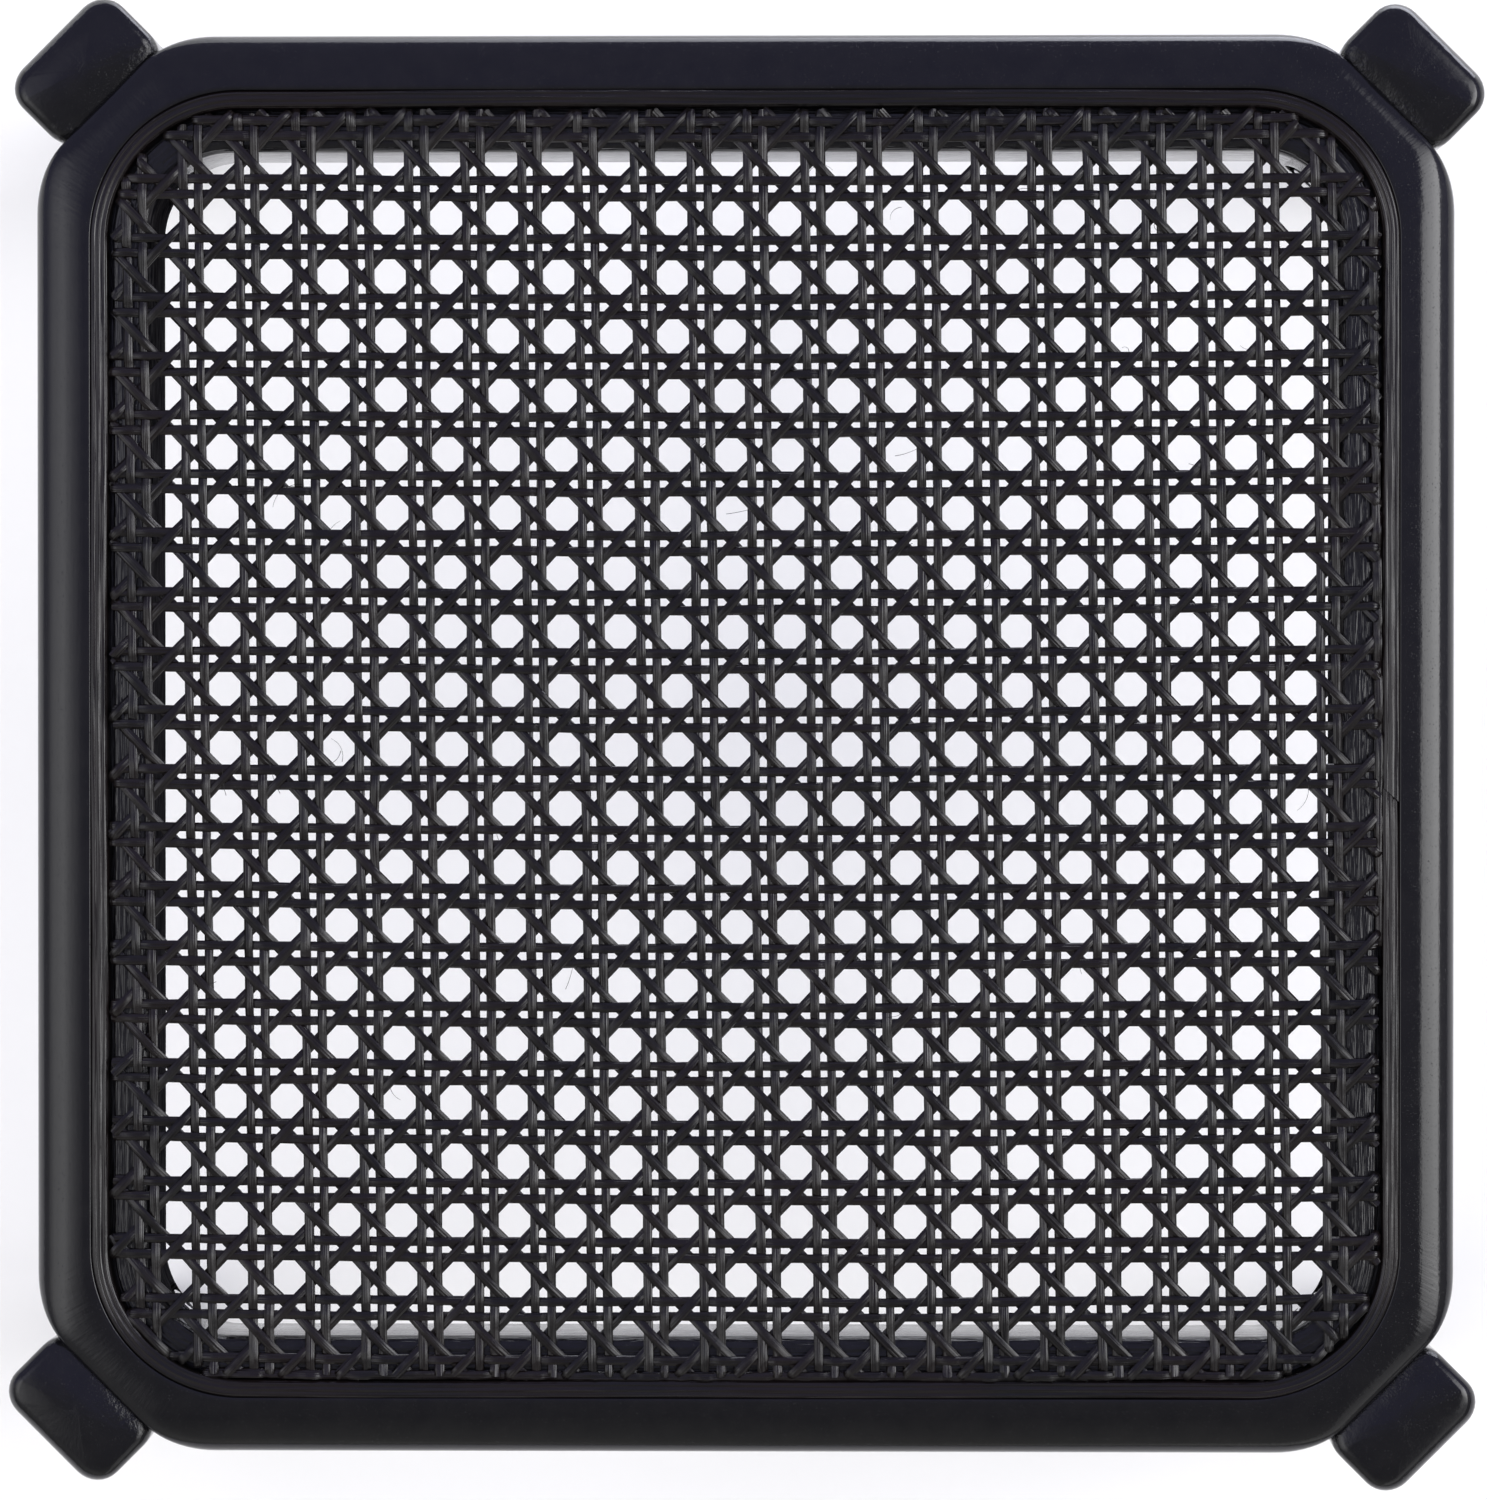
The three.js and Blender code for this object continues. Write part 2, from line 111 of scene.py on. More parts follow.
def mesh_piece(name, parts, sharp=40.0):
    """One object from (verts, faces, fibre) parts; fibre is a per-vertex vector."""
    verts, faces, fibres, base = [], [], [], 0
    for part_verts, part_faces, fibre in parts:
        verts.append(part_verts)
        fibres.append(fibre)
        faces.extend([[base + k for k in face] for face in part_faces])
        base += len(part_verts)
    mesh = bpy.data.meshes.new(name)
    mesh.from_pydata(np.concatenate(verts).tolist(), [], faces)
    stored = mesh.attributes.new("fibre", "FLOAT_VECTOR", "POINT")
    stored.data.foreach_set("vector", np.concatenate(fibres).astype(np.float32).ravel())
    finish_mesh(mesh, sharp)
    piece = bpy.data.objects.new(name, mesh)
    bpy.context.scene.collection.objects.link(piece)
    return piece


def finish_mesh(mesh, sharp):
    """Outward normals, smooth shading, and hard edges past the given angle."""
    work = bmesh.new()
    work.from_mesh(mesh)
    bmesh.ops.recalc_face_normals(work, faces=work.faces)
    limit = math.radians(sharp)
    for face in work.faces:
        face.smooth = True
    for edge in work.edges:
        edge.smooth = len(edge.link_faces) == 2 and edge.calc_face_angle() < limit
    work.to_mesh(mesh)
    work.free()


def quarter_turn(points, quarter):
    """Points turned about Z by whole quarters."""
    turn = Matrix.Rotation(quarter * math.pi / 2, 3, "Z")
    return points @ np.array(turn).T


def settle(piece, material, slot, *replaced):
    """What every piece needs: its finish, its body and the CAD nodes it stands for."""
    piece.data.materials.clear()
    piece.data.materials.append(material)
    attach(piece, "root")
    if replaced:
        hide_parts(*replaced)
    return piece


def bake_modifiers(piece):
    """Replaces the piece's mesh with what its modifiers make of it."""
    graph = bpy.context.evaluated_depsgraph_get()
    made = bpy.data.meshes.new_from_object(piece.evaluated_get(graph))
    piece.modifiers.clear()
    piece.data = made


# ---- Node helpers -------------------------------------------------------------------

class Nodes:
    """A few short calls to write a node tree."""

    def __init__(self, tree):
        self.tree = tree
        tree.nodes.clear()

    def add(self, kind, **settings):
        node = self.tree.nodes.new(kind)
        for key, value in settings.items():
            setattr(node, key, value)
        return node

    def link(self, source, target):
        self.tree.links.new(source, target)

    def fill(self, socket, value):
        if isinstance(value, bpy.types.NodeSocket):
            self.link(value, socket)
        else:
            socket.default_value = value

    def math(self, operation, a, b=0.0, c=0.0):
        node = self.add("ShaderNodeMath", operation=operation)
        self.fill(node.inputs[0], a)
        self.fill(node.inputs[1], b)
        self.fill(node.inputs[2], c)
        return node.outputs[0]

    def axis(self, vector, index):
        """X, Y or Z of a vector, by index."""
        node = self.add("ShaderNodeSeparateXYZ")
        self.link(vector, node.inputs[0])
        return node.outputs[index]

    def fibre(self, scale):
        """The piece's own along/across/strand coordinates, stretched by scale."""
        node = self.add("ShaderNodeAttribute", attribute_name="fibre")
        return self.stretched(node.outputs["Vector"], scale)

    def place(self, scale=(1, 1, 1)):
        node = self.add("ShaderNodeTexCoord")
        return self.stretched(node.outputs["Object"], scale)

    def stretched(self, vector, scale):
        node = self.add("ShaderNodeVectorMath", operation="MULTIPLY")
        self.link(vector, node.inputs[0])
        node.inputs[1].default_value = scale
        return node.outputs[0]

    def noise(self, vector, scale, detail=2.0, rough=0.5):
        node = self.add("ShaderNodeTexNoise")
        self.link(vector, node.inputs["Vector"])
        node.inputs["Scale"].default_value = scale
        node.inputs["Detail"].default_value = detail
        node.inputs["Roughness"].default_value = rough
        return node.outputs[0]

    def spread(self, value, low, high, to_low, to_high):
        """Maps low..high to to_low..to_high, clamped."""
        node = self.add("ShaderNodeMapRange")
        self.link(value, node.inputs["Value"])
        for key, number in zip(
            ("From Min", "From Max", "To Min", "To Max"), (low, high, to_low, to_high)
        ):
            node.inputs[key].default_value = number
        return node.outputs[0]

    def blend(self, share, first, second):
        node = self.add("ShaderNodeMix", data_type="RGBA")
        self.fill(node.inputs["Factor"], share)
        self.fill(node.inputs["A"], (*first, 1) if isinstance(first, tuple) else first)
        self.fill(node.inputs["B"], (*second, 1) if isinstance(second, tuple) else second)
        return node.outputs["Result"]

    def bump(self, height, distance, strength=1.0, under=None):
        node = self.add("ShaderNodeBump")
        node.inputs["Strength"].default_value = strength
        node.inputs["Distance"].default_value = distance
        self.link(height, node.inputs["Height"])
        if under is not None:
            self.link(under, node.inputs["Normal"])
        return node.outputs[0]

    def ramp(self, value, stops):
        """A colour for each value, straight between stops of (value, colour)."""
        node = self.add("ShaderNodeValToRGB")
        self.link(value, node.inputs[0])
        elements = node.color_ramp.elements
        while len(elements) < len(stops):
            elements.new(1.0)
        for element, (at, color) in zip(elements, stops):
            element.position = at
            element.color = (*color, 1)
        return node.outputs[0]


class Finish(Nodes):
    """A material of one Principled shader."""

    def __init__(self, name):
        self.material = bpy.data.materials.new(name)
        self.material.use_nodes = True
        super().__init__(self.material.node_tree)
        self.shader = self.add("ShaderNodeBsdfPrincipled")
        out = self.add("ShaderNodeOutputMaterial")
        self.link(self.shader.outputs[0], out.inputs["Surface"])

    def set(self, **sockets):
        for key, value in sockets.items():
            if isinstance(value, tuple) and len(value) == 3:
                value = (*value, 1)
            self.fill(self.shader.inputs[key.replace("_", " ")], value)
        return self.material


# ---- Materials ----------------------------------------------------------------------

def lacquer_material():
    """Glossy black lacquer over wood: orange peel, brush lines, dust, wrinkles by the legs."""
    n = Finish("black_lacquer")
    place = n.place()
    peel = n.noise(place, 1000, 3, 0.6)
    dust = n.spread(n.noise(place, 2200, 1), 0.70, 0.78, 0, 1)
    grain = n.noise(n.fibre((25, 700, 1)), 1, 3, 0.6)
    streaks = n.noise(n.fibre((30, 620, 1)), 1, 3, 0.6)
    strokes = n.noise(n.fibre((900, 90, 1)), 1, 2, 0.6)
    ledge = n.axis(n.fibre((1, 1, 1)), 2)
    shape = n.bump(grain, 0.03 * MM, 0.6)
    shape = n.bump(n.math("MULTIPLY", streaks, ledge), 0.8 * MM, 0.8, shape)
    shape = n.bump(n.math("MULTIPLY", strokes, frame_corner(n)), 0.07 * MM, 0.8, shape)
    shape = n.bump(n.math("MULTIPLY", n.noise(place, 430, 4, 0.65), leg_joint(n)),
                   0.8 * MM, 0.9, shape)
    shape = n.bump(peel, 0.03 * MM, 0.6, shape)
    shape = n.bump(dust, 0.05 * MM, 0.6, shape)
    worn = n.noise(place, 140, 4, 0.6)
    color = n.blend(n.spread(worn, 0.35, 0.7, 0, 1), (0.0030, 0.0029, 0.0040),
                    (0.0048, 0.0046, 0.0056))
    rough = n.spread(n.noise(place, 220, 3), 0.3, 0.7, 0.08, 0.14)
    return n.set(Base_Color=color, Roughness=rough, Normal=shape)


def along_diagonal(n, where):
    """Distance from the middle of the seat along the nearest diagonal."""
    x = n.math("ABSOLUTE", n.axis(where, 0))
    y = n.math("ABSOLUTE", n.axis(where, 1))
    return n.math("MULTIPLY", n.math("ADD", x, y), math.sqrt(0.5))


def leg_joint(n):
    """1 on a leg's head where it meets the frame, fading to 0 a few millimetres off."""
    where = n.place()
    off = n.math("SUBTRACT", along_diagonal(n, where), CHAMFER)
    near = n.math("MULTIPLY", n.spread(off, -1 * MM, 0.5 * MM, 0, 1),
                  n.spread(off, 0.5 * MM, 6 * MM, 1, 0))
    patch = n.spread(n.noise(where, 60, 2), 0.4, 0.6, 0.25, 1)
    top = n.spread(n.axis(where, 2), TOP - 20 * MM, TOP - 12 * MM, 0, 1)
    return n.math("MULTIPLY", n.math("MULTIPLY", near, patch), top)


def frame_corner(n):
    """1 on the legs and the frame's corners, fading to 0 along the rails."""
    out = along_diagonal(n, n.place())
    return n.spread(out, CHAMFER - 30 * MM, CHAMFER - 12 * MM, 0, 1)


def thin_lacquer_material():
    """Thin, brushed-out lacquer on the opening's walls, with the wood's lines showing."""
    n = Finish("thin_lacquer")
    lines = n.noise(n.place((1, 1, 9)), 110, 4, 0.65)
    fine = n.noise(n.place((1, 1, 14)), 420, 2)
    shape = n.bump(lines, 0.5 * MM, 0.7)
    shape = n.bump(fine, 0.1 * MM, 0.6, shape)
    color = n.blend(n.spread(lines, 0.42, 0.62, 0, 1), (0.003, 0.003, 0.004),
                    (0.024, 0.023, 0.025))
    return n.set(Base_Color=color, Roughness=n.spread(fine, 0.3, 0.7, 0.42, 0.6),
                 Specular_IOR_Level=0.0, Normal=shape)


def strand_material(name, streaks, depth, rough_low, rough_high):
    """Lacquered cane or reed: long fine streaks, a little variation from end to end."""
    n = Finish(name)
    streak = n.noise(n.fibre((14, streaks, 7.3)), 1, 2, 0.55)
    fine = n.noise(n.fibre((40, streaks * 3, 3.1)), 1, 1)
    blotch = n.noise(n.place(), 420, 3)
    shape = n.bump(blotch, 0.12 * MM, 0.6)
    shape = n.bump(streak, depth, 1.0, shape)
    shape = n.bump(fine, depth * 0.3, 0.7, shape)
    hue = n.noise(n.place(), 35, 2)
    dark = n.blend(n.spread(hue, 0.4, 0.6, 0, 1), (0.0052, 0.0036, 0.0038),
                   (0.0034, 0.0030, 0.0032))
    color = n.blend(n.spread(streak, 0.45, 0.75, 0, 1), dark, (0.0085, 0.0070, 0.0072))
    rough = n.spread(blotch, 0.3, 0.7, rough_low, rough_high)
    return n.set(Base_Color=color, Roughness=rough, Normal=shape)


def metal_material(name, tint):
    n = Finish(name)
    place = n.place()
    brushed = n.noise(n.place((1, 1, 14)), 420, 3)
    color = n.blend(n.noise(place, 300, 3), tuple(0.8 * c for c in tint), tint)
    rough = n.spread(brushed, 0.3, 0.7, 0.28, 0.45)
    return n.set(Base_Color=color, Roughness=rough, Metallic=1.0,
                 Normal=n.bump(brushed, 0.02 * MM, 0.6))


def beech_material():
    n = Finish("raw_beech")
    grain = n.noise(n.place((900, 900, 60)), 1, 3, 0.6)
    color = n.blend(n.spread(grain, 0.35, 0.7, 0, 1), (0.42, 0.25, 0.13), (0.62, 0.42, 0.24))
    return n.set(Base_Color=color, Roughness=0.75, Normal=n.bump(grain, 0.1 * MM, 0.5))


def nylon_material():
    n = Finish("black_nylon")
    pebble = n.noise(n.place(), 1800, 2)
    scuffs = n.noise(n.place((1, 1, 0.2)), 250, 4, 0.65)
    color = n.blend(n.spread(scuffs, 0.5, 0.7, 0, 1), (0.016, 0.016, 0.018),
                    (0.05, 0.05, 0.052))
    return n.set(Base_Color=color, Roughness=n.spread(scuffs, 0.3, 0.7, 0.45, 0.65),
                 Normal=n.bump(pebble, 0.05 * MM, 0.5))


LACQUER = lacquer_material()
THIN_LACQUER = thin_lacquer_material()
CANE = strand_material("lacquered_cane", 2.4, 0.36 * MM, 0.07, 0.15)
REED = strand_material("lacquered_reed", 4.0, 0.4 * MM, 0.10, 0.18)
STEEL = metal_material("plated_steel", (0.62, 0.62, 0.63))
ZINC = metal_material("zinc_alloy", (0.5, 0.48, 0.42))
BEECH = beech_material()
NYLON = nylon_material()


# ---- Outlines in plan ---------------------------------------------------------------

def corner_of(half, radius, share):
    """A rounded square's outline from the end of its side (0) to the diagonal (1)."""
    turn = share * math.pi / 4
    middle = half - radius
    return np.stack([middle + radius * np.cos(turn), middle + radius * np.sin(turn)], -1)


def side_and_corners(side_end, corner, stations):
    """The outline's +X side from diagonal to diagonal, at stations from -1 to 1."""
    reach = np.abs(stations)
    straight = np.stack([np.full_like(reach, corner(0.0)[0]), reach * 2 * side_end], -1)
    turned = np.array([corner(max(0.0, 2 * r - 1)) for r in reach])
    points = np.where((reach <= 0.5)[:, None], straight, turned)
    points[:, 1] *= np.sign(stations)
    return points


def rounded(half, radius, stations):
    return side_and_corners(half - radius, lambda k: corner_of(half, radius, k), stations)


SHOULDER_SHARE = 0.6  # of the stations between a side's end and the diagonal


def frame_edge(inset, stations):
    """The frame's outer outline, moved in by inset."""
    half, chamfer = FRAME_HALF - inset, CHAMFER - inset
    radius = max(SHOULDER_RADIUS - inset, 0.0)
    near = half - radius
    far = (chamfer - radius) * math.sqrt(2) - near
    diagonal = np.array([chamfer, chamfer]) / math.sqrt(2)

    def corner(share):
        turn = min(share / SHOULDER_SHARE, 1.0) * math.pi / 4
        shoulder = np.array([near + radius * math.cos(turn), far + radius * math.sin(turn)])
        rest = max(0.0, (share - SHOULDER_SHARE) / (1 - SHOULDER_SHARE))
        return shoulder + (diagonal - shoulder) * rest

    return side_and_corners(far, corner, stations)


# ---- Seat frame ---------------------------------------------------------------------

def arc(steps):
    """Angles of a quarter circle, both ends included."""
    return np.linspace(0, math.pi / 2, steps + 1)


def rail_profile(stations):
    """The rail's cross-section at each station, as rings of points all the way round."""
    rows = []

    def row(plan, level):
        rows.append(np.c_[plan, np.broadcast_to(level, len(stations))])

    crease = rounded(GROOVE_OUTER, GROOVE_RADIUS, stations)
    edge = frame_edge(0, stations)
    turned = np.clip((np.abs(stations) - 0.5) / 0.3, 0, 1)
    drop = CROWN_DROP + (CORNER_DROP - CROWN_DROP) * turned ** 2 * (3 - 2 * turned)
    for a in arc(4):
        row(frame_edge(UNDER_ROUND * (1 - math.sin(a)), stations),
            UNDERSIDE + UNDER_ROUND * (1 - math.cos(a)))
    row(edge, TOP - CROWN_DROP - 12 * MM)
    for a in arc(18)[::-1]:
        lean = math.sin(a)
        row(crease + (edge - crease) * lean, TOP - drop * (1 - math.cos(a)))
    for a in arc(4)[1:]:
        moved = CREASE_ROUND * math.sin(a)
        row(rounded(GROOVE_OUTER - moved, GROOVE_RADIUS - moved, stations),
            TOP - CREASE_ROUND * (1 - math.cos(a)))
    wall, wall_radius = GROOVE_OUTER - CREASE_ROUND, GROOVE_RADIUS - CREASE_ROUND
    row(rounded(wall, wall_radius, stations), GROOVE_FLOOR)
    inner_radius = GROOVE_RADIUS - (GROOVE_OUTER - GROOVE_INNER)
    row(rounded(GROOVE_INNER, inner_radius, stations), GROOVE_FLOOR)
    for a in arc(3)[::-1]:
        moved = CREASE_ROUND * math.cos(a)
        row(rounded(GROOVE_INNER - CREASE_ROUND + CREASE_ROUND * math.sin(a),
                    inner_radius - CREASE_ROUND + CREASE_ROUND * math.sin(a), stations),
            LEDGE_TOP - CREASE_ROUND + moved)
    for a in arc(6):
        moved = LEDGE_ROUND * (1 - math.sin(a))
        row(rounded(OPENING_HALF + moved, OPENING_RADIUS + moved, stations),
            LEDGE_TOP - LEDGE_ROUND * (1 - math.cos(a)))
    for a in arc(4)[::-1]:
        moved = LEDGE_ROUND * (1 - math.sin(a))
        row(rounded(OPENING_HALF + moved, OPENING_RADIUS + moved, stations),
            UNDERSIDE + LEDGE_ROUND * (1 - math.cos(a)))
    return np.stack(rows, 1)


def rail_rings():
    straight = np.linspace(-0.5, 0.5, 25)
    corner = np.linspace(0.5, 1.0, 19)[1:]
    stations = np.concatenate([-corner[::-1], straight, corner])
    return rail_profile(stations) + [MITRE_GAP, 0, 0]


def lengths(points):
    """Distance travelled along a line of points."""
    steps = np.linalg.norm(np.diff(points, axis=0), axis=1)
    return np.concatenate([[0], np.cumsum(steps)])


def rail_fibre(rings, quarter):
    """Along the rail, across it, and 1 in the groove and on the ledge inside it."""
    count = len(rings)
    along = lengths(rings.mean(1)) + quarter
    across = lengths(rings[count // 2])
    grid = np.stack(np.meshgrid(along, across, indexing="ij"), -1)
    reach, _, height = rings[count // 2].T
    ledge = (reach < GROOVE_OUTER - 2 * CREASE_ROUND) & (height > GROOVE_FLOOR - LEDGE_ROUND)
    ledge = np.repeat(ledge.astype(float)[None, :], count, 0)[..., None]
    return np.concatenate([grid, ledge], -1).reshape(-1, 3)


def counterbore_cutter():
    """The bolt's recess in the inside corner, at all four corners."""
    work = bmesh.new()
    for quarter in range(QUARTERS):
        turn = Matrix.Rotation((quarter + 0.5) * math.pi / 2, 4, "Z")
        lie = Matrix.Rotation(math.pi / 2, 4, "Y")
        move = Matrix.Translation((BOLT_SEAT - RECESS_DEEP / 2, 0, BOLT_LEVEL))
        bmesh.ops.create_cone(work, cap_ends=True, segments=48, depth=RECESS_DEEP,
                              radius1=COUNTERBORE_RADIUS, radius2=COUNTERBORE_RADIUS,
                              matrix=turn @ move @ lie)
    mesh = bpy.data.meshes.new("recess_cutter")
    work.to_mesh(mesh)
    work.free()
    cutter = bpy.data.objects.new("recess_cutter", mesh)
    bpy.context.scene.collection.objects.link(cutter)
    return cutter


def make_rails():
    rings = rail_rings()
    cutter = counterbore_cutter()
    for quarter, side in enumerate(SIDES):
        turned = quarter_turn(rings.reshape(-1, 3), quarter).reshape(rings.shape)
        verts, faces = skin(turned)
        rail = mesh_piece(f"seat_rail_{side}", [(verts, faces, rail_fibre(rings, quarter))])
        cut = rail.modifiers.new("recess", "BOOLEAN")
        cut.operation, cut.object, cut.solver = "DIFFERENCE", cutter, "EXACT"
        bake_modifiers(rail)
        settle(rail, LACQUER, "lacquered_wood", f"rail_{side}")
        if side in ("left", "right"):
            thin_inside(rail)
    bpy.data.objects.remove(cutter)


THIN_REACH = 1.5 * MM  # how far out from the opening's wall the thinner lacquer goes
THIN_BELOW = 0.5 * MM  # and how far below the ledge it starts


def thin_inside(rail):
    """The thinner lacquer on the rail's wall of the opening."""
    rail.data.materials.append(THIN_LACQUER)
    for face in rail.data.polygons:
        reach = max(abs(face.center.x), abs(face.center.y))
        if reach < OPENING_HALF + THIN_REACH and face.center.z < LEDGE_TOP - THIN_BELOW:
            face.material_index = 1


# ---- Reed spline --------------------------------------------------------------------

REED_HALF = 2.5 * MM
REED_CLEAR = 0.35 * MM  # between the reed and the groove's outer wall
REED_SHOULDER = 1.6 * MM
REED_JOINT = -14 * MM  # along the right rail, where its two ends meet
REED_JOINT_GAP = 0.12 * MM
REED_CUT = 0.9  # slant of the cut through its ends
REED_UNEVEN = 0.12 * MM  # how far it wavers sideways, and how far it was pressed in
REED_ROLL = 0.2  # how far its last stretch has turned to one side
REED_ROLLED = 55 * MM  # the stretch over which it has
REED_PIVOT = 0.6  # it turned about a line this far in from its middle, in half widths
FLUTES = 3
FLUTE_DEEP = 0.32 * MM


def reed_section():
    """Across (outwards) and height of the reed's outline, starting under its inside."""
    low = GROOVE_FLOOR + GAP
    top = []
    for k in np.linspace(-1, 1, 33):
        fall = REED_SHOULDER * (1 - math.sqrt(max(0.0, 1 - abs(k) ** 3)))
        flute = FLUTE_DEEP / 2 * (1 - math.cos(k * math.pi * FLUTES)) * (1 - k * k)
        top.append((k * REED_HALF, REED_HIGH.z - fall - flute))
    return np.array([(-REED_HALF, low), *top, (REED_HALF, low)])


def make_reed():
    middle = GROOVE_OUTER - REED_CLEAR - REED_HALF
    radius = GROOVE_RADIUS - (GROOVE_OUTER - middle)
    straight = np.linspace(-0.5, 0.5, 61)
    corner = np.linspace(0.5, 1.0, 17)[1:]
    stations = np.concatenate([-corner[::-1], straight, corner[:-1]])
    side = rounded(middle, radius, stations)
    plan = np.concatenate([quarter_turn(np.c_[side, side[:, :1] * 0], q)[:, :2]
                           for q in range(QUARTERS)])
    first = int(np.argmin(np.linalg.norm(plan - [middle, REED_JOINT], axis=1)))
    plan = np.roll(plan, -first, axis=0)
    plan[0] = [middle, REED_JOINT]
    end = plan[0] - [0, REED_JOINT_GAP]
    plan = np.concatenate([plan, [end]])
    ahead = unit(np.gradient(plan, axis=0))
    ahead[0] = ahead[-1] = [0, 1]
    outward = np.stack([ahead[:, 1], -ahead[:, 0]], -1)
    section = reed_section()
    along = lengths(np.c_[plan, plan[:, :1] * 0])
    drift = REED_UNEVEN * (np.sin(along * 21) + np.sin(along * 47 + 1))
    sink = REED_UNEVEN * (1 + np.sin(along * 33 + 2) * np.sin(along * 13))
    roll = REED_ROLL * np.exp((along - along[-1]) / REED_ROLLED)
    rings = np.zeros((len(plan), len(section), 3))
    rings[:, :, :2] = (plan[:, None] + outward[:, None] * section[None, :, :1]
                       + outward[:, None] * drift[:, None, None])
    rings[:, :, 2] = section[None, :, 1] - sink[:, None]
    rings[:, :, 2] -= roll[:, None] * (section[None, :, 0] + REED_HALF * REED_PIVOT)
    for slanted in (0, 1, -2, -1):
        rings[slanted, :, 1] -= REED_CUT * section[:, 0]
    verts, faces = skin(rings)
    across = np.linspace(-1, 1, len(section))
    fibre = np.stack(np.meshgrid(along, across, indexing="ij"), -1).reshape(-1, 2)
    fibre = np.c_[fibre, np.zeros(len(fibre))]
    reed = mesh_piece("reed_in_groove", [(verts, faces, fibre)], 60)
    settle(reed, REED, "reed", "reed_spline")


# ---- Cane webbing -------------------------------------------------------------------

CELL_X = 15.74 * MM  # one octagon to the next, along X
CELL_Y = 16.41 * MM
CELL_AT = (-2.6 * MM, -0.9 * MM)  # the octagon nearest the middle
SHEAR = 0.0118  # the webbing went in a little out of square
BOW = 1.1 * MM  # its crossways strands sag in the middle
PAIR = 4.4 * MM  # between the two strands of a pair
STRAND_WIDE = 2.6 * MM
STRAND_THICK = 0.75 * MM
WEB_LEVEL = (LEDGE_TOP + GAP + WEB_HIGH.z) / 2 - 0.02 * MM
CROSS_LIFT = 0.5 * MM  # strands of pairs, where they cross
SLANT_LIFT = 0.66 * MM  # slanting strands, over or under a pair
WEB_HALF = GROOVE_INNER + 1.3 * MM
WEB_RADIUS = GROOVE_RADIUS - (GROOVE_OUTER - WEB_HALF)
DIVE = 1.1 * MM  # radius of the bend into the groove
WEB_FOOT = WEB_LOW.z + 0.3 * MM
FOOT_STEPS = 3  # points from the bend down to the foot
PAIR_STEP = 1.6 * MM
SLANT_STEP = 2.1 * MM
CRUMPLED = 9 * MM  # the strands are crushed for this far inside the groove
CRUMPLE = 0.2 * MM
CRUMPLE_ROLL = 0.22
KNOT_EVERY = 14  # points between the knots of a strand's slow drift
WIDTH_DRIFT = 0.05
ROLL_DRIFT = 0.12
PAIR_DRIFT = 0.13 * MM
SLANT_DRIFT = 0.16 * MM
STRAND_ACROSS = [-0.86, 0.86, 1.0, 0.82, 0.45, 0, -0.45, -0.82, -1.0]  # in half widths
STRAND_HEIGHT = [-0.5, -0.5, -0.25, 0.08, 0.4, 0.5, 0.4, 0.08, -0.25]  # in thicknesses
CELL_RANGE = 12  # octagons to either side of the middle, to past the groove
HAIRS = 34
HAIR_RADIUS = 0.09 * MM


def outside_web(points):
    """Distance outside the line where the cane turns down, negative inside it."""
    q = np.abs(points) - (WEB_HALF - WEB_RADIUS)
    corner = np.linalg.norm(np.maximum(q, 0), axis=-1)
    return corner + np.minimum(q.max(-1), 0) - WEB_RADIUS


def eased(at, marks, values):
    """Cosine interpolation through marks."""
    k = np.clip(np.searchsorted(marks, at) - 1, 0, len(marks) - 2)
    share = np.clip((at - marks[k]) / (marks[k + 1] - marks[k]), 0, 1)
    ease = (1 - np.cos(share * math.pi)) / 2
    return values[k] + (values[k + 1] - values[k]) * ease


def cell_to_plan(cells):
    """Lattice coordinates (octagon counts from the middle one) to metres."""
    x = CELL_AT[0] + cells[..., 0] * CELL_X - cells[..., 1] * CELL_Y * SHEAR
    y = CELL_AT[1] + cells[..., 1] * CELL_Y
    bow = BOW * (np.clip(1 - (x / WEB_HALF) ** 2, 0, 1) - 0.5)
    return np.stack([x, y - bow], -1)


def wander(rng, length, size):
    """A slow random drift for a strand of the given number of points."""
    knots = rng.normal(0, size, max(4, length // KNOT_EVERY))
    at = np.linspace(0, len(knots) - 1, length)
    return eased(at, np.arange(len(knots)), knots)


